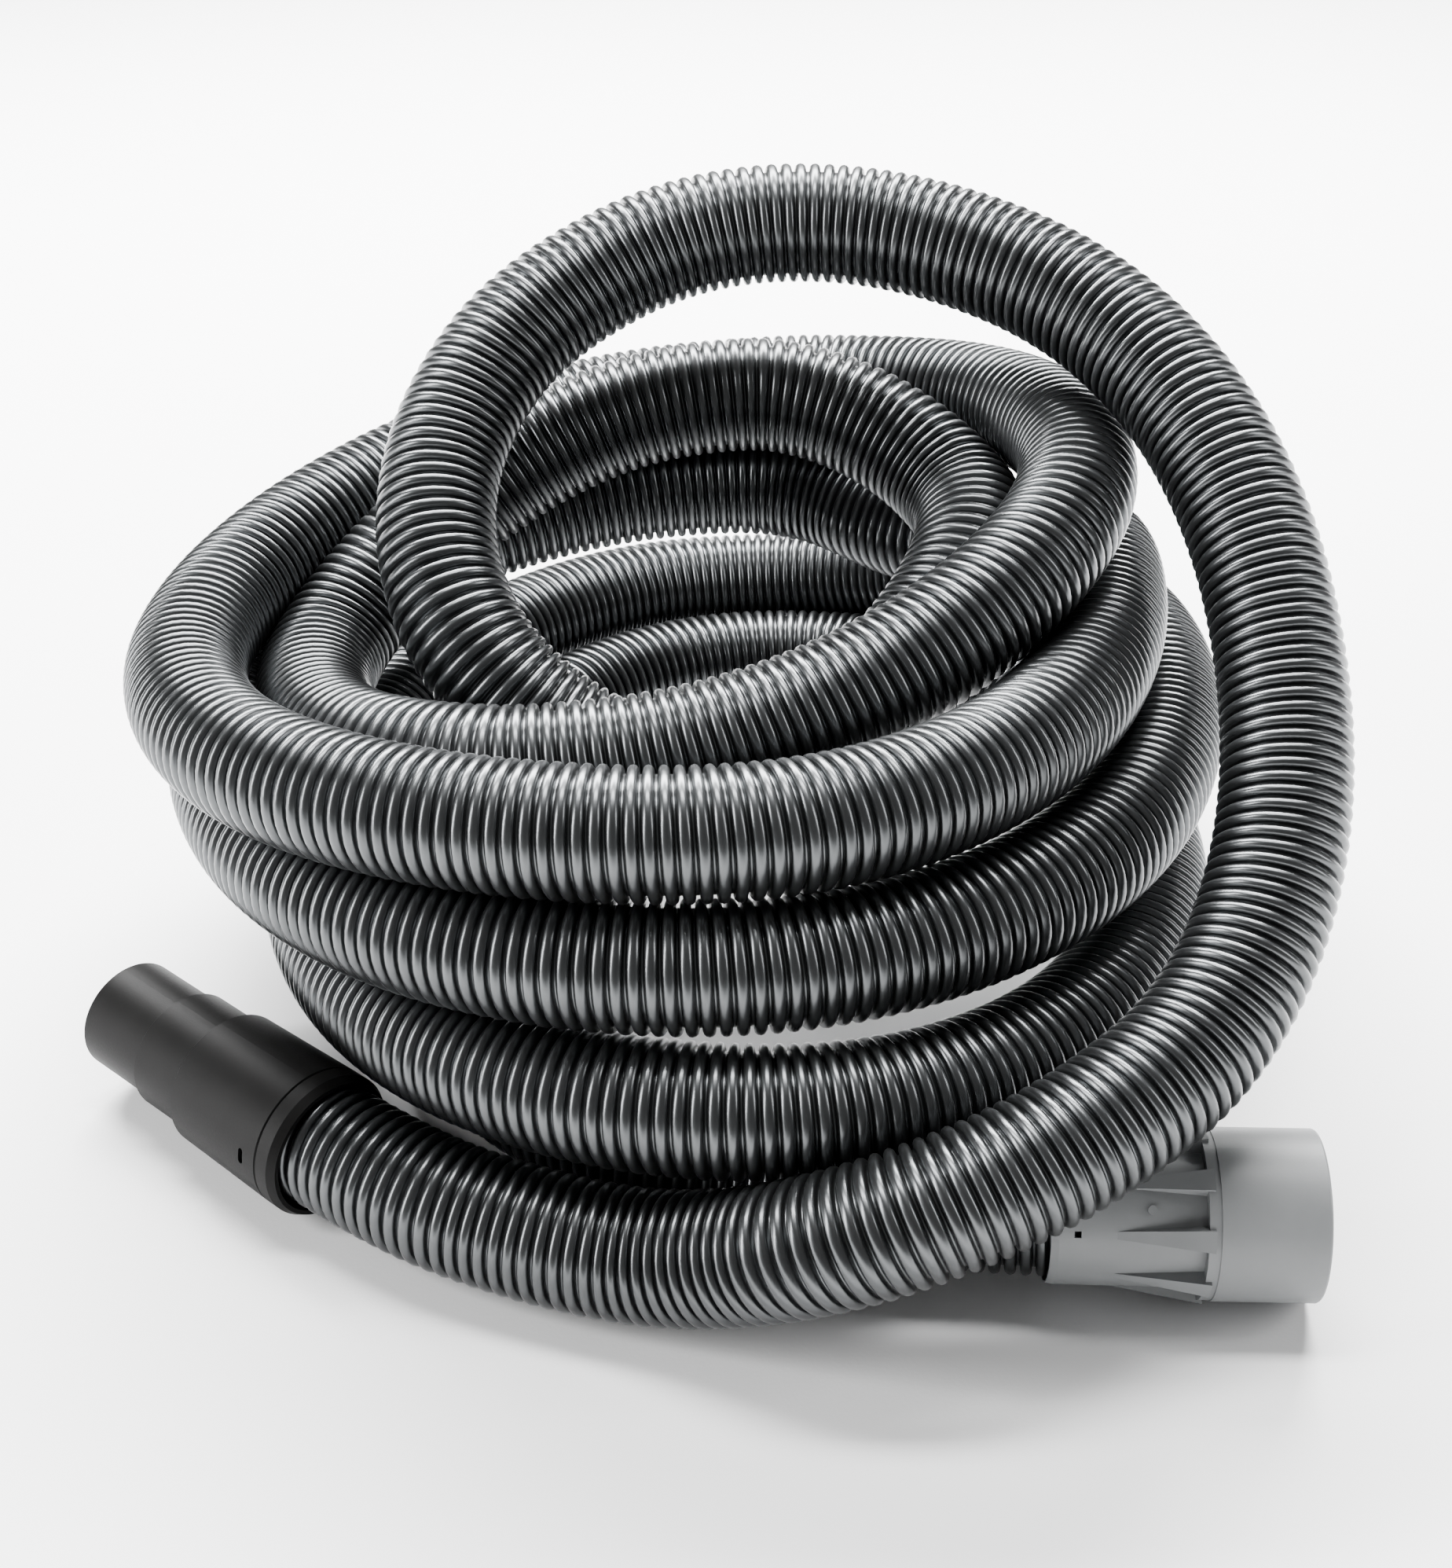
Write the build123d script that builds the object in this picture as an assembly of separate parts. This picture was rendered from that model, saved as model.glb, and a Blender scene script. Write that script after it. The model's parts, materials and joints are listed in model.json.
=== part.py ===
from build123d import *

import math
import os

# A coiled dust-extractor hose: corrugated hose, a stepped swivel cuff for tools on one end
# and a swivel connector for the machine on the other. Millimetres, +Z up, floor at Z = 0.

# Hose
hose_diameter = 44.0
hose_bore = 36.0

# Fits
running_gap = 0.05
side_gap = 0.3

# How much wider than the hose the fittings around it are, on the diameter
cavity_over_hose = 3.6
sleeve_front_over_hose = 6.0
sleeve_rear_over_hose = 8.0
neck_shoulder_over_hose = 3.6
neck_end_over_hose = 2.8
connector_over_hose = 12.0

# Tool cuff, measured along its axis from the nozzle's tip
nozzle_diameter = 41.0
nozzle_bore = 35.0
nozzle_length = 32.0
shoulder_diameter = 44.5
shoulder_length = 24.0
spigot_diameter = 40.0
spigot_length = 8.0
sleeve_front_diameter = hose_diameter + sleeve_front_over_hose
sleeve_rear_diameter = hose_diameter + sleeve_rear_over_hose
sleeve_length = 47.5
sleeve_cavity_diameter = hose_diameter + cavity_over_hose
tool_seal_thickness = 2.0
tool_ferrule_length = 28.0
tool_flange_length = 4.0
tool_ferrule_wall = 1.3
stop_thickness = 2.0
slip_ring_thickness = 1.4
end_ring_length = 9.0
end_ring_bevel = 3.0
skirt_length = 4.0
mouth_gap = 1.0
window_width = 2.2
window_length = 6.0
window_setback = 7.5
window_angles = (81.0, 261.0)
groove_depth = 0.5

# Machine connector, measured along its axis from its open end
connector_diameter = hose_diameter + connector_over_hose
socket_wall = 2.5
inner_wall = 3.5
connector_bore = connector_diameter - 2 * socket_wall
inner_bore = connector_diameter - 2 * inner_wall
socket_depth = 20.0
cylinder_length = 38.5
cylinder_land = 3.9
land_step = 0.4
neck_shoulder_diameter = hose_diameter + neck_shoulder_over_hose
neck_end_diameter = hose_diameter + neck_end_over_hose
neck_length = 44.0
collar_length = 5.0
collar_bevel = 2.0
shoulder_wall = 4.0
lock_ring_length = 4.0
lock_ring_bore = 40.0
machine_seal_thickness = 1.5
rim_bead = 0.6
rib_count = 9
rib_start_angle = -66.0
rib_length = 29.0
rib_foot_width = 7.4
rib_tip_width = 2.4
rib_overhang = 2.0
rib_proud = 0.7
rib_joint_gap = 0.6
bump_diameter = 3.0
bump_height = 0.6
bump_share = 0.6
lug_size = 2.2
lug_setback = 3.3
lug_turn = 20.0

# Where the two ends lie: a point on the axis, and the heading of the hose's way through it
cuff_tip = (-198.0, 61.0)
cuff_heading = -41.4
connector_mouth = (211.0, -49.0)
connector_heading = -1.5

# Route of the loose hose from the tool cuff over the standing arch and down into the coil
run_points = [
    (-41, -53, 22),
    (8, -67, 24),
    (60, -91, 57),
    (126, -74, 77),
    (183, -28, 96),
    (210, 38, 144),
    (202, 121, 207),
    (161, 196, 246),
    (87, 244, 262),
    (9, 247, 261),
    (-54, 220, 236),
    (-83, 185, 205),
    (-87, 142, 177),
    (-71, 106, 151),
    (-36, 90, 124),
]
run_lead = 25.0

# Where each turn of the coil lies furthest to the front, right, back and left, top turn first
coil_turns = [
    [(0, 90, 109), (114, 182, 166), (27, 243, 194), (-135, 152, 118)],
    [(-45, 47, 139.5), (151, 176, 194), (46, 302, 172), (-178, 135, 137)],
    [(6, -12, 151.5), (168, 200, 143), (31, 306, 123), (-174, 174, 92)],
    [(12, -26, 110.5), (190, 178, 105), (29, 376, 36), (-138, 149, 47)],
    [(34, -48, 70), (182, 134, 55), (42, 330, 22), (-96, 170, 22)],
]
points_per_quarter = 6

# A quarter of a turn that lies inside its ellipse, and how far its middle is drawn in
drawn_in = {9: (-18, -18, -12)}
floor_turn_inset = 44.0

# Route from the bottom of the coil to the machine connector
tail_points = [(-75, 49, 22), (-41, 10, 22), (11, -20, 22)]
tail_lead = 26.0

arc_share = 0.45

# Stations along the tool cuff
shoulder_start = nozzle_length
sleeve_start = shoulder_start + shoulder_length
cavity_start = sleeve_start + spigot_length
tool_ferrule_start = cavity_start + tool_seal_thickness + side_gap
tool_ferrule_end = tool_ferrule_start + tool_ferrule_length
end_ring_start = sleeve_start + sleeve_length
skirt_start = end_ring_start - skirt_length
slip_ring_start = skirt_start - slip_ring_thickness
cuff_length = end_ring_start + end_ring_length
window_place = end_ring_start - window_setback
cuff_height = sleeve_rear_diameter / 2

# Stations along the machine connector
lock_ring_start = socket_depth
machine_seal_start = lock_ring_start + lock_ring_length
machine_ferrule_start = machine_seal_start + machine_seal_thickness + side_gap
bore_end = cylinder_length - shoulder_wall
machine_ferrule_end = bore_end - side_gap
neck_end = cylinder_length + neck_length
connector_length = neck_end + collar_length
connector_height = connector_diameter / 2 + rib_proud


def unit(heading):
    return Vector(math.cos(math.radians(heading)), math.sin(math.radians(heading)), 0)


cuff_way = unit(cuff_heading)
connector_way = unit(connector_heading)
cuff_origin = Vector(cuff_tip[0], cuff_tip[1], cuff_height)
connector_origin = Vector(connector_mouth[0], connector_mouth[1], connector_height)
cuff_plane = Plane(cuff_origin, x_dir=(0, 0, 1), z_dir=cuff_way)
connector_plane = Plane(connector_origin, x_dir=(0, 0, 1), z_dir=-connector_way)


def turned(*outline):
    """A ring turned about Z from its (diameter, height) outline."""
    corners = [(diameter / 2, height) for diameter, height in outline]
    return revolve(make_face(Plane.XZ * Polyline(*corners, close=True)), Axis.Z)


def washer(outer, inner, start, end):
    return turned((inner, start), (outer, start), (outer, end), (inner, end))


# Tool cuff
def tool_nozzle():
    return turned(
        (nozzle_bore, 0),
        (nozzle_diameter - groove_depth * 2, 0),
        (nozzle_diameter, groove_depth),
        (nozzle_diameter, shoulder_start - groove_depth),
        (shoulder_diameter - groove_depth * 2, shoulder_start),
        (shoulder_diameter, shoulder_start + groove_depth),
        (shoulder_diameter, sleeve_start),
        (spigot_diameter, sleeve_start),
        (spigot_diameter, cavity_start),
        (nozzle_bore, cavity_start),
    )


def window_cutter(angle):
    radius = sleeve_rear_diameter / 2
    slot = extrude(SlotOverall(window_length, window_width, rotation=90), amount=radius)
    return Rot(0, 0, angle) * Pos(0, 0, window_place) * Rot(0, 90, 0) * slot


def tool_sleeve():
    body = turned(
        (spigot_diameter, sleeve_start),
        (sleeve_front_diameter - groove_depth * 4, sleeve_start),
        (sleeve_front_diameter, sleeve_start + groove_depth * 2),
        (sleeve_rear_diameter, end_ring_start - groove_depth),
        (sleeve_rear_diameter - groove_depth * 2, end_ring_start),
        (sleeve_cavity_diameter, end_ring_start),
        (sleeve_cavity_diameter, cavity_start),
        (spigot_diameter, cavity_start),
    )
    for angle in window_angles:
        body -= window_cutter(angle)
    return body


def tool_end_ring():
    bore = hose_diameter + side_gap * 2
    mouth = hose_diameter + mouth_gap * 2
    return turned(
        (bore, skirt_start),
        (sleeve_cavity_diameter, skirt_start),
        (sleeve_cavity_diameter, end_ring_start),
        (sleeve_rear_diameter - groove_depth * 2, end_ring_start),
        (sleeve_rear_diameter, end_ring_start + groove_depth),
        (sleeve_rear_diameter, cuff_length - end_ring_bevel),
        (sleeve_rear_diameter - end_ring_bevel, cuff_length),
        (mouth, cuff_length),
        (bore, cuff_length - end_ring_length / 2),
    )


def tool_seal():
    return washer(sleeve_cavity_diameter, nozzle_bore, cavity_start, cavity_start + tool_seal_thickness)


def tool_ferrule():
    flange = sleeve_cavity_diameter - running_gap * 2
    barrel = hose_diameter + tool_ferrule_wall * 2
    stop = tool_ferrule_start + stop_thickness
    return turned(
        (hose_bore, tool_ferrule_start),
        (flange, tool_ferrule_start),
        (flange, tool_ferrule_start + tool_flange_length),
        (barrel, tool_ferrule_start + tool_flange_length),
        (barrel, tool_ferrule_end),
        (hose_diameter, tool_ferrule_end),
        (hose_diameter, stop),
        (hose_bore, stop),
    )


def tool_slip_ring():
    inner = hose_diameter + side_gap * 2
    return washer(sleeve_cavity_diameter, inner, slip_ring_start, skirt_start)


# Machine connector
def connector_rib(index):
    """A wedge that widens and rises along the neck to a squared foot over the shoulder."""
    foot = cylinder_length - rib_overhang
    tip = cylinder_length + rib_length
    top = connector_diameter / 2 + rib_proud
    base = hose_diameter / 2 + rib_joint_gap
    side = make_face(
        Plane.XZ
        * Polyline(
            (base, foot),
            (top, foot),
            (top - rib_proud, cylinder_length + rib_overhang),
            (neck_end_diameter / 2, tip),
            (base, tip),
            close=True,
        )
    )
    wedge = make_face(
        Plane.YZ
        * Polyline(
            (-rib_foot_width / 2, foot),
            (rib_foot_width / 2, foot),
            (rib_tip_width / 2, tip),
            (-rib_tip_width / 2, tip),
            close=True,
        )
    )
    rib = extrude(side, amount=rib_foot_width, both=True) & extrude(wedge, amount=connector_diameter)
    return Rot(0, 0, rib_start_angle + index * 360 / rib_count) * rib


def connector_bump():
    """A round bump between two ribs."""
    length = bump_diameter / 2 + bump_height
    pin = extrude(Circle(bump_diameter / 2), amount=length)
    root = neck_shoulder_diameter / 2 - bump_diameter / 2
    return Pos(root, 0, cylinder_length + rib_length * bump_share) * Rot(0, 90, 0) * pin


def connector_body():
    bore = hose_diameter + side_gap * 2
    land = connector_diameter - land_step * 2
    land_start = cylinder_length - cylinder_land
    body = turned(
        (connector_bore, 0),
        (connector_diameter - rim_bead, 0),
        (connector_diameter, rim_bead),
        (connector_diameter, land_start),
        (land, land_start),
        (land, cylinder_length),
        (neck_shoulder_diameter, cylinder_length),
        (neck_end_diameter, neck_end),
        (bore, neck_end),
        (bore, bore_end),
        (inner_bore, bore_end),
        (inner_bore, socket_depth),
        (connector_bore, socket_depth),
    )
    for index in range(rib_count):
        body += connector_rib(index)
    body -= washer(inner_bore, 0, socket_depth, bore_end)
    between_ribs = rib_start_angle + 180 / rib_count
    body += Rot(0, 0, between_ribs) * connector_bump()
    window = Pos(neck_end_diameter / 2, 0, neck_end - lug_setback) * Box(lug_size * 3, lug_size, lug_size)
    for side in (0, 180):
        body -= Rot(0, 0, between_ribs - lug_turn + side) * window
    return body


def connector_collar():
    bore = hose_diameter + side_gap * 2
    return turned(
        (bore, neck_end),
        (neck_end_diameter, neck_end),
        (neck_end_diameter, neck_end + collar_length / 2),
        (neck_end_diameter - collar_bevel / 2, connector_length),
        (bore, connector_length),
    )


def connector_ferrule():
    flange = inner_bore - running_gap * 2
    stop = machine_ferrule_start + stop_thickness
    return turned(
        (hose_bore, machine_ferrule_start),
        (flange, machine_ferrule_start),
        (flange, machine_ferrule_end),
        (hose_diameter, machine_ferrule_end),
        (hose_diameter, stop),
        (hose_bore, stop),
    )


def connector_lock_ring():
    return washer(inner_bore, lock_ring_bore, lock_ring_start, machine_seal_start)


def connector_seal():
    return washer(inner_bore, hose_bore, machine_seal_start, machine_seal_start + machine_seal_thickness)


# Hose
def coil_path():
    """The hose's way round the coil: each quarter of a turn is a quarter of an ellipse."""
    stations = [station for turn in coil_turns for station in turn]
    points = []
    for index in range(len(stations) - 1):
        start, end = stations[index], stations[index + 1]
        for step in range(points_per_quarter):
            angle = math.radians(90 * step / points_per_quarter)
            rise, fall = math.sin(angle), math.cos(angle)
            if index % 2:
                x, y = end[0] + (start[0] - end[0]) * fall, start[1] + (end[1] - start[1]) * rise
            else:
                x, y = start[0] + (end[0] - start[0]) * rise, end[1] + (start[1] - end[1]) * fall
            z = start[2] + (end[2] - start[2]) * rise * rise
            drawn = (2 * rise * fall) ** 2
            pull = drawn_in.get(index, (0, 0, 0))
            points.append((x + pull[0] * drawn, y + pull[1] * drawn, z + pull[2] * drawn))
    return points + [stations[-1]]


def hose_tube(name, points):
    """A plain tube along straight runs joined by tangent arcs."""
    corners = [Vector(point) for point in points]
    radii = []
    for before, corner, after in zip(corners, corners[1:], corners[2:]):
        coming, going = corner - before, after - corner
        shorter = min(coming.length, going.length)
        turn = math.radians(coming.get_angle(going))
        radii.append(arc_share * shorter / math.tan(turn / 2))
    path = FilletPolyline(*corners, radius=radii)
    section = Circle(hose_diameter / 2) - Circle(hose_bore / 2)
    start = Plane(path @ 0, z_dir=path % 0)
    tube = sweep(start * section, path=path)
    print(name, "length", round(path.length), "radii", [round(radius) for radius in radii])
    print(name, "volume over section times length", round(tube.volume / (section.area * path.length), 4))
    return tube


def hose_run():
    entry = cuff_origin + cuff_way * (tool_ferrule_start + stop_thickness)
    lead = cuff_origin + cuff_way * (cuff_length + run_lead)
    return hose_tube("hose_run", [entry, lead] + run_points + [coil_turns[0][0]])


def hose_tail():
    lead = connector_origin - connector_way * (connector_length + tail_lead)
    entry = connector_origin - connector_way * (machine_ferrule_start + stop_thickness)
    return hose_tube("hose_tail", [coil_turns[-1][-1]] + tail_points + [lead, entry])


def turn_section(turn, height, offset, inset=0.0):
    """The ellipse of one turn, grown by an offset, with its front drawn back by an inset."""
    front, right, back, left = turn
    centre = ((left[0] + right[0]) / 2, (front[1] + inset + back[1]) / 2)
    half_width = (right[0] - left[0]) / 2 + offset
    half_depth = (back[1] - front[1] - inset) / 2 + offset
    return Pos(centre[0], centre[1], height) * Ellipse(half_width, half_depth)


def coil_sections(offset):
    """Sections of the coil from the floor up, from its bottom turn to its second turn."""
    radius = hose_diameter / 2
    outer_turns = coil_turns[:0:-1]
    heights = [sum(station[2] for station in turn) / 4 for turn in outer_turns]
    sections = [turn_section(outer_turns[0], 0, offset, floor_turn_inset)]
    sections.append(turn_section(outer_turns[0], heights[0], offset, floor_turn_inset))
    sections += [turn_section(turn, height, offset) for turn, height in zip(outer_turns[1:], heights[1:])]
    sections.append(turn_section(outer_turns[-1], heights[-1] + radius, offset))
    return sections


def hose_coil():
    radius = hose_diameter / 2
    print("hose_coil length", round(Polyline(*coil_path()).length))
    return loft(coil_sections(radius), ruled=True) - loft(coil_sections(-radius), ruled=True)


def main():
    os.makedirs("parts", exist_ok=True)
    on_cuff = (tool_nozzle, tool_sleeve, tool_end_ring, tool_seal, tool_ferrule, tool_slip_ring)
    on_connector = (
        connector_body,
        connector_collar,
        connector_ferrule,
        connector_lock_ring,
        connector_seal,
    )
    for build in on_cuff:
        export_step(cuff_plane.location * build(), f"parts/{build.__name__}.step")
    for build in on_connector:
        export_step(connector_plane.location * build(), f"parts/{build.__name__}.step")
    for build in (hose_run, hose_coil, hose_tail):
        export_step(build(), f"parts/{build.__name__}.step")


main()
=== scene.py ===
import json
import math

import bpy
import numpy as np
from mathutils import Euler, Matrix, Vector


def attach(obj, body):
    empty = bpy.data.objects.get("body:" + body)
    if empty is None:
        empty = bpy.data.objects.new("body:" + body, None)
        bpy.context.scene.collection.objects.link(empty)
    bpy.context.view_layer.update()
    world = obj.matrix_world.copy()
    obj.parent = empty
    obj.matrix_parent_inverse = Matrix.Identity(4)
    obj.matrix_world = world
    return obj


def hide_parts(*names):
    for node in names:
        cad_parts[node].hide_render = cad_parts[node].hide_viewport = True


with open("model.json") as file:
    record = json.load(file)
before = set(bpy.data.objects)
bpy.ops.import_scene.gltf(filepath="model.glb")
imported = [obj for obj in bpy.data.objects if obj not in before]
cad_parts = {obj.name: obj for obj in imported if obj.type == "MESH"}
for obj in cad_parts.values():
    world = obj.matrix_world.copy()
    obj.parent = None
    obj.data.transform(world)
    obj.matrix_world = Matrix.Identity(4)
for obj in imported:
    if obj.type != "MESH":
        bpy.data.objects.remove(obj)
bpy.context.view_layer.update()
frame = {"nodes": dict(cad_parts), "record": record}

record = frame["record"]

# Hose, in metres
HOSE_BORE = 0.036
RIB_PITCH = 0.005
SIDES = 36
BORE_SIDES = 24
BORE_STEP = 0.02

# One rib and its valley: (distance along the hose from the rib's middle, radius)
RIB_PROFILE = [
    (0.0, 0.0220),
    (0.00095, 0.02175),
    (0.00165, 0.02105),
    (0.0019, 0.0201),
    (0.00198, 0.0190),
    (0.00302, 0.0190),
    (0.0031, 0.0201),
    (0.00335, 0.02105),
    (0.00405, 0.02175),
]

# Fittings, measured as in the design
CUFF_HEADING = -41.4
CUFF_TIP = (-0.198, 0.061)
CUFF_HEIGHT = 0.026
CUFF_LENGTH = 0.1125
HOSE_IN_CUFF = 0.0683
RUN_LEAD = 0.025
CONNECTOR_HEADING = -1.5
CONNECTOR_MOUTH = (0.211, -0.049)
CONNECTOR_HEIGHT = 0.0287
CONNECTOR_LENGTH = 0.0875
HOSE_IN_CONNECTOR = 0.0278
TAIL_LEAD = 0.026

RUN_POINTS = [
    (-0.041, -0.053, 0.022),
    (0.008, -0.067, 0.024),
    (0.060, -0.091, 0.057),
    (0.126, -0.074, 0.077),
    (0.183, -0.028, 0.096),
    (0.210, 0.038, 0.144),
    (0.202, 0.121, 0.207),
    (0.161, 0.196, 0.246),
    (0.087, 0.244, 0.262),
    (0.009, 0.247, 0.261),
    (-0.054, 0.220, 0.236),
    (-0.083, 0.185, 0.205),
    (-0.087, 0.142, 0.177),
    (-0.071, 0.106, 0.151),
    (-0.036, 0.090, 0.124),
]

# Front, right, back and left of each turn of the coil, top turn first
COIL_TURNS = [
    [(0.000, 0.090, 0.109), (0.114, 0.182, 0.166), (0.027, 0.243, 0.194), (-0.135, 0.152, 0.118)],
    [(-0.045, 0.047, 0.1395), (0.151, 0.176, 0.194), (0.046, 0.302, 0.172), (-0.178, 0.135, 0.137)],
    [(0.006, -0.012, 0.1515), (0.168, 0.200, 0.143), (0.031, 0.304, 0.1285), (-0.174, 0.174, 0.092)],
    [(0.012, -0.026, 0.1105), (0.190, 0.178, 0.105), (0.029, 0.378, 0.043), (-0.138, 0.149, 0.047)],
    [(0.034, -0.048, 0.070), (0.182, 0.134, 0.055), (0.042, 0.340, 0.022), (-0.096, 0.170, 0.022)],
]
POINTS_PER_QUARTER = 6

# A quarter of a turn that lies inside its ellipse, and how far its middle is drawn in
DRAWN_IN = {9: (-0.018, -0.018, -0.012)}

TAIL_POINTS = [(-0.075, 0.049, 0.022), (-0.041, 0.010, 0.022), (0.011, -0.020, 0.022)]

# Steps of the smooth line between two control points, and the least step that it keeps
LINE_STEPS = 16
LEAST_STEP = 1e-7

# Floor and lights: name, place, what it points at, width, height, watts
FLOOR_REACH = 8.0
SOFTBOXES = [
    ("main_light", (-0.1, 1.45, 1.45), (0.0, 0.2, 0.05), 2.4, 0.6, 380),
    ("top_light", (0.0, 0.35, 1.9), (0.0, 0.15, 0.1), 1.4, 0.3, 70),
    ("left_light", (-1.5, -0.3, 0.7), (0.0, 0.1, 0.1), 0.2, 1.3, 50),
    ("right_light", (1.6, -0.1, 0.8), (0.0, 0.1, 0.1), 0.2, 1.2, 16),
]
SKY_STRENGTH = 0.28

# Camera
CAMERA_PLACE = (0.020, -0.609, 0.544)
CAMERA_DOWN = 32.0
CAMERA_NEAR = 0.01
SENSOR = 36.0
FOCAL_OVER_HEIGHT = 2926.6 / 1995


def unit(heading):
    return np.array([math.cos(math.radians(heading)), math.sin(math.radians(heading)), 0.0])


def cuff_point(distance):
    return np.array([*CUFF_TIP, CUFF_HEIGHT]) + unit(CUFF_HEADING) * distance


def connector_point(distance):
    return np.array([*CONNECTOR_MOUTH, CONNECTOR_HEIGHT]) - unit(CONNECTOR_HEADING) * distance


def coil_points():
    """Points round the coil: each quarter of a turn is a quarter of an ellipse."""
    stations = [station for turn in COIL_TURNS for station in turn]
    points = []
    for index in range(len(stations) - 1):
        start, end = stations[index], stations[index + 1]
        for step in range(POINTS_PER_QUARTER):
            angle = math.radians(90 * step / POINTS_PER_QUARTER)
            rise, fall = math.sin(angle), math.cos(angle)
            if index % 2:
                x, y = end[0] + (start[0] - end[0]) * fall, start[1] + (end[1] - start[1]) * rise
            else:
                x, y = start[0] + (end[0] - start[0]) * rise, end[1] + (start[1] - end[1]) * fall
            z = start[2] + (end[2] - start[2]) * rise * rise
            drawn = (2 * rise * fall) ** 2
            pull = DRAWN_IN.get(index, (0.0, 0.0, 0.0))
            points.append((x + pull[0] * drawn, y + pull[1] * drawn, z + pull[2] * drawn))
    return points + [stations[-1]]


def route():
    """The whole hose's control points, from the tool cuff to the machine connector."""
    head = [cuff_point(HOSE_IN_CUFF), cuff_point(CUFF_LENGTH + RUN_LEAD)]
    foot = [connector_point(CONNECTOR_LENGTH + TAIL_LEAD), connector_point(HOSE_IN_CONNECTOR)]
    return head + RUN_POINTS + coil_points() + TAIL_POINTS + foot


def add_object(name, data):
    piece = bpy.data.objects.new(name, data)
    bpy.context.scene.collection.objects.link(piece)
    return piece


def smooth_line(points):
    """The points of a NURBS spline that has the given control points."""
    curve = bpy.data.curves.new("route", "CURVE")
    curve.dimensions = "3D"
    curve.resolution_u = LINE_STEPS
    spline = curve.splines.new("NURBS")
    spline.points.add(len(points) - 1)
    for place, point in zip(spline.points, points):
        place.co = (*point, 1.0)
    spline.order_u = 3
    spline.use_endpoint_u = True
    holder = add_object("route", curve)
    bpy.context.view_layer.update()
    mesh = bpy.data.meshes.new_from_object(holder)
    line = np.array([vertex.co for vertex in mesh.vertices])
    bpy.data.objects.remove(holder)
    bpy.data.curves.remove(curve)
    bpy.data.meshes.remove(mesh)
    return line


class Centreline:
    """A line with the distance along it and a frame that doesn't twist."""

    def __init__(self, line):
        steps = np.linalg.norm(np.diff(line, axis=0), axis=1)
        line = line[np.concatenate([[True], steps > LEAST_STEP])]
        steps = np.linalg.norm(np.diff(line, axis=0), axis=1)
        self.line = line
        self.along = np.concatenate([[0.0], np.cumsum(steps)])
        self.length = self.along[-1]
        tangents = np.gradient(line, self.along, axis=0)
        self.tangents = tangents / np.linalg.norm(tangents, axis=1)[:, None]
        sides = [np.cross(self.tangents[0], [0.0, 0.0, 1.0])]
        for tangent in self.tangents[1:]:
            side = sides[-1] - tangent * np.dot(sides[-1], tangent)
            sides.append(side / np.linalg.norm(side))
        sides[0] /= np.linalg.norm(sides[0])
        self.sides = np.array(sides)

    def at(self, distance):
        """Place, side and rise at each distance, as arrays."""
        def read(values):
            return np.stack([np.interp(distance, self.along, values[:, k]) for k in range(3)], -1)

        place, tangent, side = read(self.line), read(self.tangents), read(self.sides)
        tangent /= np.linalg.norm(tangent, axis=-1, keepdims=True)
        side -= tangent * np.sum(side * tangent, axis=-1, keepdims=True)
        side /= np.linalg.norm(side, axis=-1, keepdims=True)
        return place, side, np.cross(tangent, side)

    def skin(self, distance, angle, radius):
        place, side, rise = self.at(distance)
        turned = side * np.cos(angle)[..., None] + rise * np.sin(angle)[..., None]
        return place + turned * np.asarray(radius)[..., None]


def make_mesh(name, vertices, faces):
    mesh = bpy.data.meshes.new(name)
    mesh.from_pydata(vertices.tolist(), [], faces.tolist())
    mesh.validate()
    mesh.polygons.foreach_set("use_smooth", [True] * len(mesh.polygons))
    mesh.update()
    return mesh


def hose_mesh(centre):
    """Ribs that wind round the hose like a screw thread, and a smooth bore inside them."""
    ribs = int(centre.length / RIB_PITCH)
    pitch = centre.length / (ribs + 1)
    profile = np.array(RIB_PROFILE)
    per_rib = len(profile)
    rows = ribs * per_rib
    row = np.arange(rows + 1)
    start = (row // per_rib) * pitch + profile[row % per_rib, 0] * pitch / RIB_PITCH
    turn = np.arange(SIDES) / SIDES
    distance = start[:, None] + turn[None, :] * pitch
    angle = np.broadcast_to(turn[None, :] * 2 * np.pi, distance.shape)
    radius = np.broadcast_to(profile[row % per_rib, 1][:, None], distance.shape)
    outer = centre.skin(distance, angle, radius).reshape(-1, 3)

    index = row[:, None] * SIDES + np.arange(SIDES)[None, :]
    quads = np.stack([index[:-1, :-1], index[:-1, 1:], index[1:, 1:], index[1:, :-1]], -1)
    quads = quads.reshape(-1, 4)
    last, first = index[:rows - per_rib + 1, -1], index[per_rib:, 0]
    seam = np.stack([last[:-1], first[:-1], first[1:], last[1:]], -1)

    bore_rows = int(centre.length / BORE_STEP) + 1
    bore_distance = np.linspace(0.0, centre.length, bore_rows)
    bore_angle = np.arange(BORE_SIDES) / BORE_SIDES * 2 * np.pi
    shape = (bore_rows, BORE_SIDES)
    bore = centre.skin(
        np.broadcast_to(bore_distance[:, None], shape),
        np.broadcast_to(bore_angle[None, :], shape),
        np.full(shape, HOSE_BORE / 2),
    ).reshape(-1, 3)
    bore_index = len(outer) + np.arange(bore_rows * BORE_SIDES).reshape(shape)
    wrapped = np.roll(bore_index, -1, axis=1)
    inner = np.stack([bore_index[:-1], bore_index[1:], wrapped[1:], wrapped[:-1]], -1)
    inner = inner.reshape(-1, 4)
    return make_mesh("hose", np.vstack([outer, bore]), np.vstack([quads, seam, inner]))


# Materials
def new_material(name):
    material = bpy.data.materials.new(name)
    material.use_nodes = True
    return material


def shader_of(material):
    return material.node_tree.nodes["Principled BSDF"]


def add_node(material, kind, **inputs):
    node = material.node_tree.nodes.new(kind)
    for name, value in inputs.items():
        node.inputs[name].default_value = value
    return node


def link(material, output, socket):
    material.node_tree.links.new(output, socket)


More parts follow.
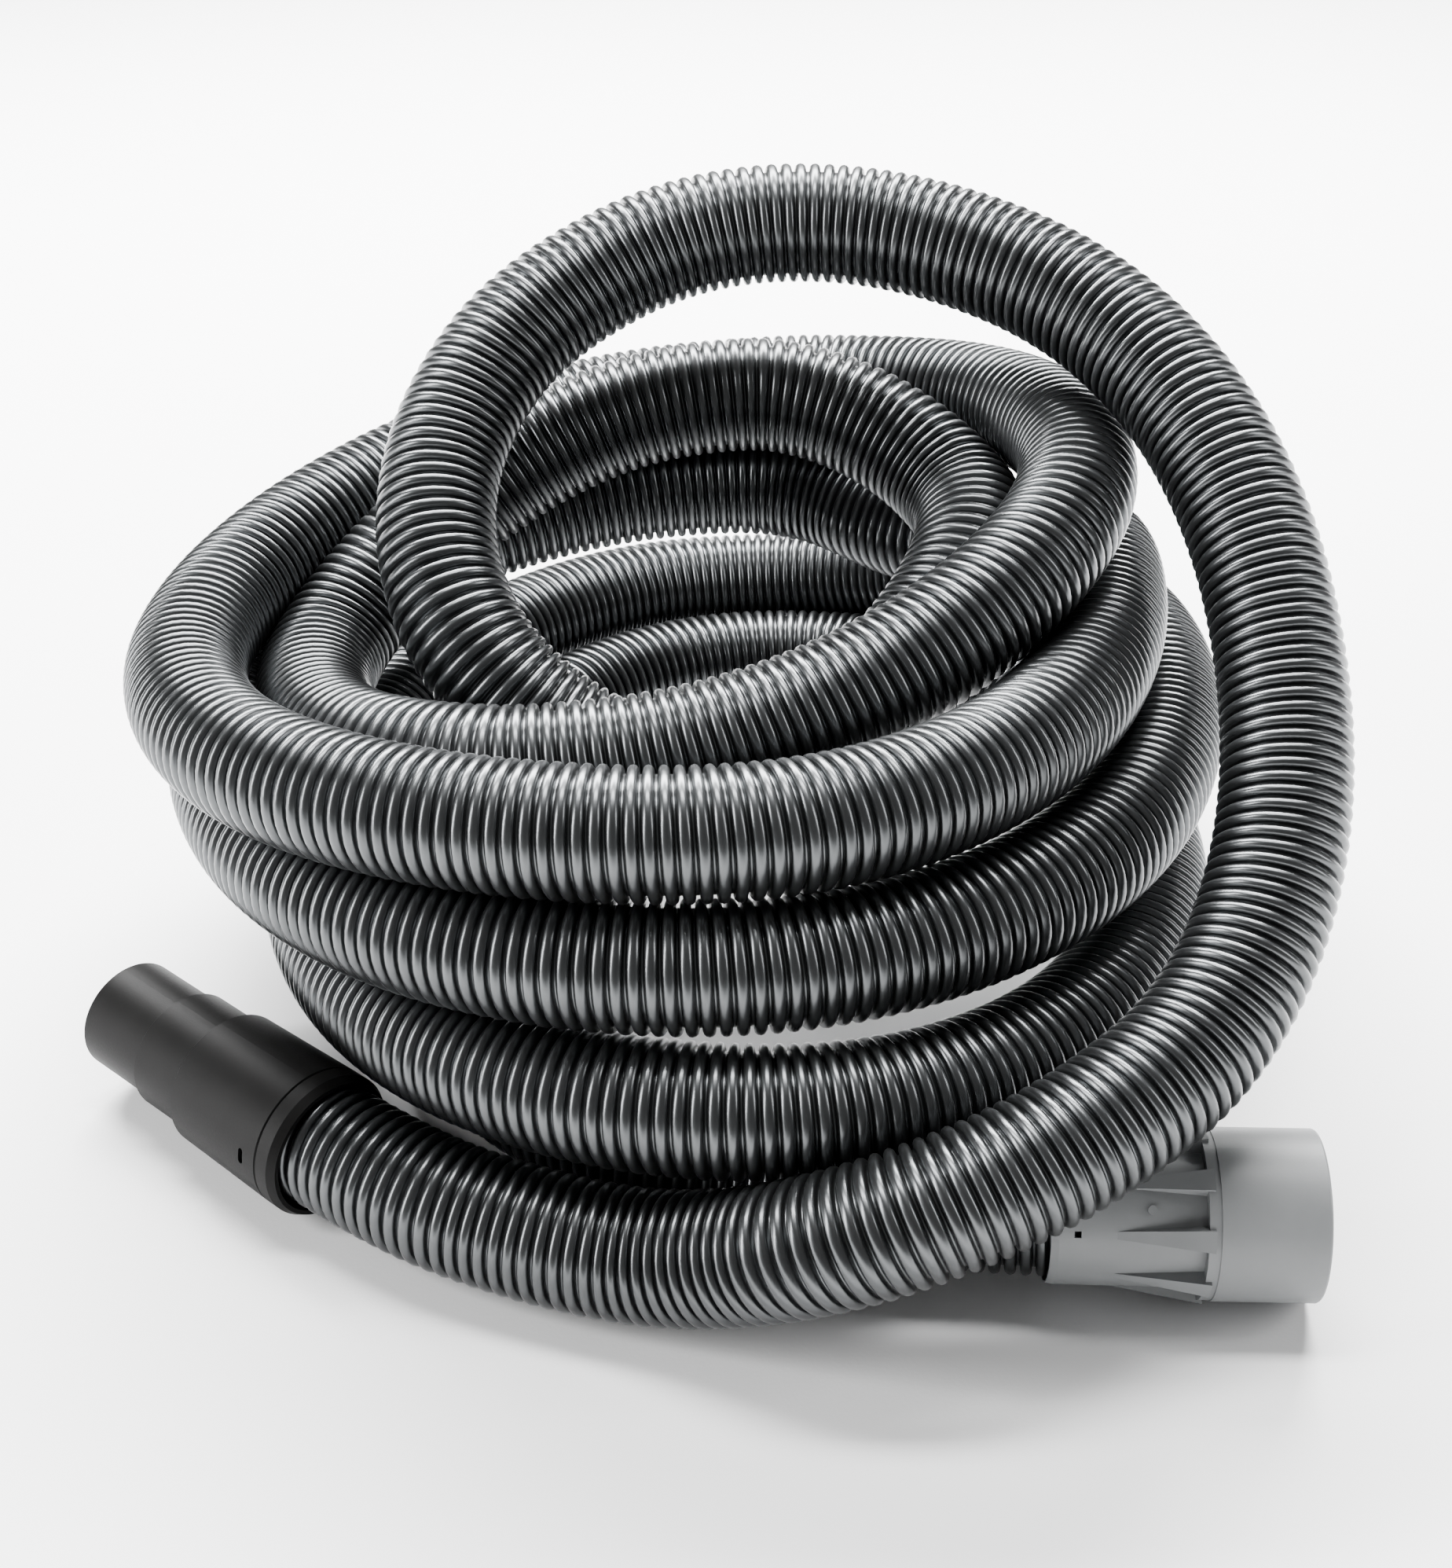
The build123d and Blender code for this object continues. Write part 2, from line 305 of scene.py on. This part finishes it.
def mottle(material, colours, roughness, scale, grain_scale, grain_height):
    """Colour and roughness that drift a little, with a fine moulded grain."""
    shader = shader_of(material)
    coords = add_node(material, "ShaderNodeTexCoord")
    drift = add_node(material, "ShaderNodeTexNoise", Scale=scale, Detail=4.0, Roughness=0.6)
    link(material, coords.outputs["Object"], drift.inputs["Vector"])
    ramp = add_node(material, "ShaderNodeValToRGB")
    for element, position, colour in zip(ramp.color_ramp.elements, (0.3, 0.7), colours):
        element.position = position
        element.color = (*colour, 1.0)
    link(material, drift.outputs["Fac"], ramp.inputs["Fac"])
    link(material, ramp.outputs["Color"], shader.inputs["Base Color"])
    grain = add_node(material, "ShaderNodeTexNoise", Scale=grain_scale, Detail=3.0, Roughness=0.55)
    link(material, coords.outputs["Object"], grain.inputs["Vector"])
    spread = add_node(material, "ShaderNodeMapRange")
    spread.inputs["To Min"].default_value = roughness[0]
    spread.inputs["To Max"].default_value = roughness[1]
    link(material, grain.outputs["Fac"], spread.inputs["Value"])
    link(material, spread.outputs["Result"], shader.inputs["Roughness"])
    bump = add_node(material, "ShaderNodeBump", Strength=0.5, Distance=grain_height)
    link(material, grain.outputs["Fac"], bump.inputs["Height"])
    link(material, bump.outputs["Normal"], shader.inputs["Normal"])
    return material


def hose_plastic():
    material = new_material("hose_plastic")
    shader_of(material).inputs["Metallic"].default_value = 0.96
    colours = (0.076, 0.0793, 0.0817), (0.09, 0.0939, 0.0965)
    return mottle(material, colours, (0.26, 0.33), 35.0, 900.0, 0.00002)


def black_plastic():
    material = new_material("black_plastic")
    shader_of(material).inputs["IOR"].default_value = 1.16
    colours = (0.0027, 0.0026, 0.0025), (0.004, 0.0039, 0.0038)
    return mottle(material, colours, (0.42, 0.56), 60.0, 1400.0, 0.00006)


def grey_plastic():
    colours = (0.165, 0.171, 0.174), (0.185, 0.191, 0.194)
    return mottle(new_material("grey_plastic"), colours, (0.4, 0.55), 50.0, 1200.0, 0.00004)


def ferrule_plastic():
    colours = (0.026, 0.026, 0.026), (0.036, 0.036, 0.036)
    return mottle(new_material("ferrule_plastic"), colours, (0.4, 0.6), 70.0, 1200.0, 0.00004)


def slip_plastic():
    colours = (0.68, 0.67, 0.62), (0.74, 0.73, 0.68)
    return mottle(new_material("slip_plastic"), colours, (0.3, 0.42), 60.0, 900.0, 0.00002)


def seal_rubber():
    colours = (0.013, 0.013, 0.013), (0.02, 0.02, 0.02)
    return mottle(new_material("seal_rubber"), colours, (0.68, 0.82), 80.0, 1500.0, 0.00003)


def floor_paper():
    colours = (0.855, 0.855, 0.857), (0.865, 0.865, 0.867)
    return mottle(new_material("floor_paper"), colours, (0.85, 0.95), 8.0, 700.0, 0.0001)


MAKERS = {
    "hose_plastic": hose_plastic,
    "black_plastic": black_plastic,
    "grey_plastic": grey_plastic,
    "ferrule_plastic": ferrule_plastic,
    "slip_plastic": slip_plastic,
    "seal_rubber": seal_rubber,
}
materials = {slot: make() for slot, make in MAKERS.items()}

# The design's own fittings keep their shape
for part in record["subparts"]:
    node = frame["nodes"][part["node"]]
    for material_slot in node.material_slots:
        material_slot.material = materials[part["material_slot"]]
    if not node.material_slots:
        node.data.materials.append(materials[part["material_slot"]])

# The hose
centre = Centreline(smooth_line(route()))
hose = add_object("corrugated_hose", hose_mesh(centre))
hose.data.materials.append(materials["hose_plastic"])
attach(hose, "hose")
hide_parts("hose_run", "hose_coil", "hose_tail")

# Stage
corners = [(-1, -1, 0), (1, -1, 0), (1, 1, 0), (-1, 1, 0)]
floor = add_object("floor", make_mesh("floor", np.array(corners) * FLOOR_REACH, np.array([(0, 1, 2, 3)])))
floor.data.materials.append(floor_paper())


def softbox(name, place, aim, width, height, power):
    light = bpy.data.lights.new(name, "AREA")
    light.shape = "RECTANGLE"
    light.size = width
    light.size_y = height
    light.energy = power
    lamp = add_object(name, light)
    lamp.location = place
    lamp.rotation_euler = (Vector(aim) - Vector(place)).to_track_quat("-Z", "Y").to_euler()


for setting in SOFTBOXES:
    softbox(*setting)

world = bpy.data.worlds.new("studio")
world.use_nodes = True
world.node_tree.nodes["Background"].inputs["Color"].default_value = (1.0, 1.0, 1.0, 1.0)
world.node_tree.nodes["Background"].inputs["Strength"].default_value = SKY_STRENGTH
bpy.context.scene.world = world

# Camera view
camera_data = bpy.data.cameras.new("camera")
camera_data.sensor_fit = "AUTO"
camera_data.sensor_width = SENSOR
camera_data.lens = SENSOR * FOCAL_OVER_HEIGHT
camera_data.clip_start = CAMERA_NEAR
camera = add_object("camera", camera_data)
camera.location = CAMERA_PLACE
camera.rotation_euler = Euler((math.radians(90 - CAMERA_DOWN), 0.0, 0.0))
bpy.context.scene.camera = camera
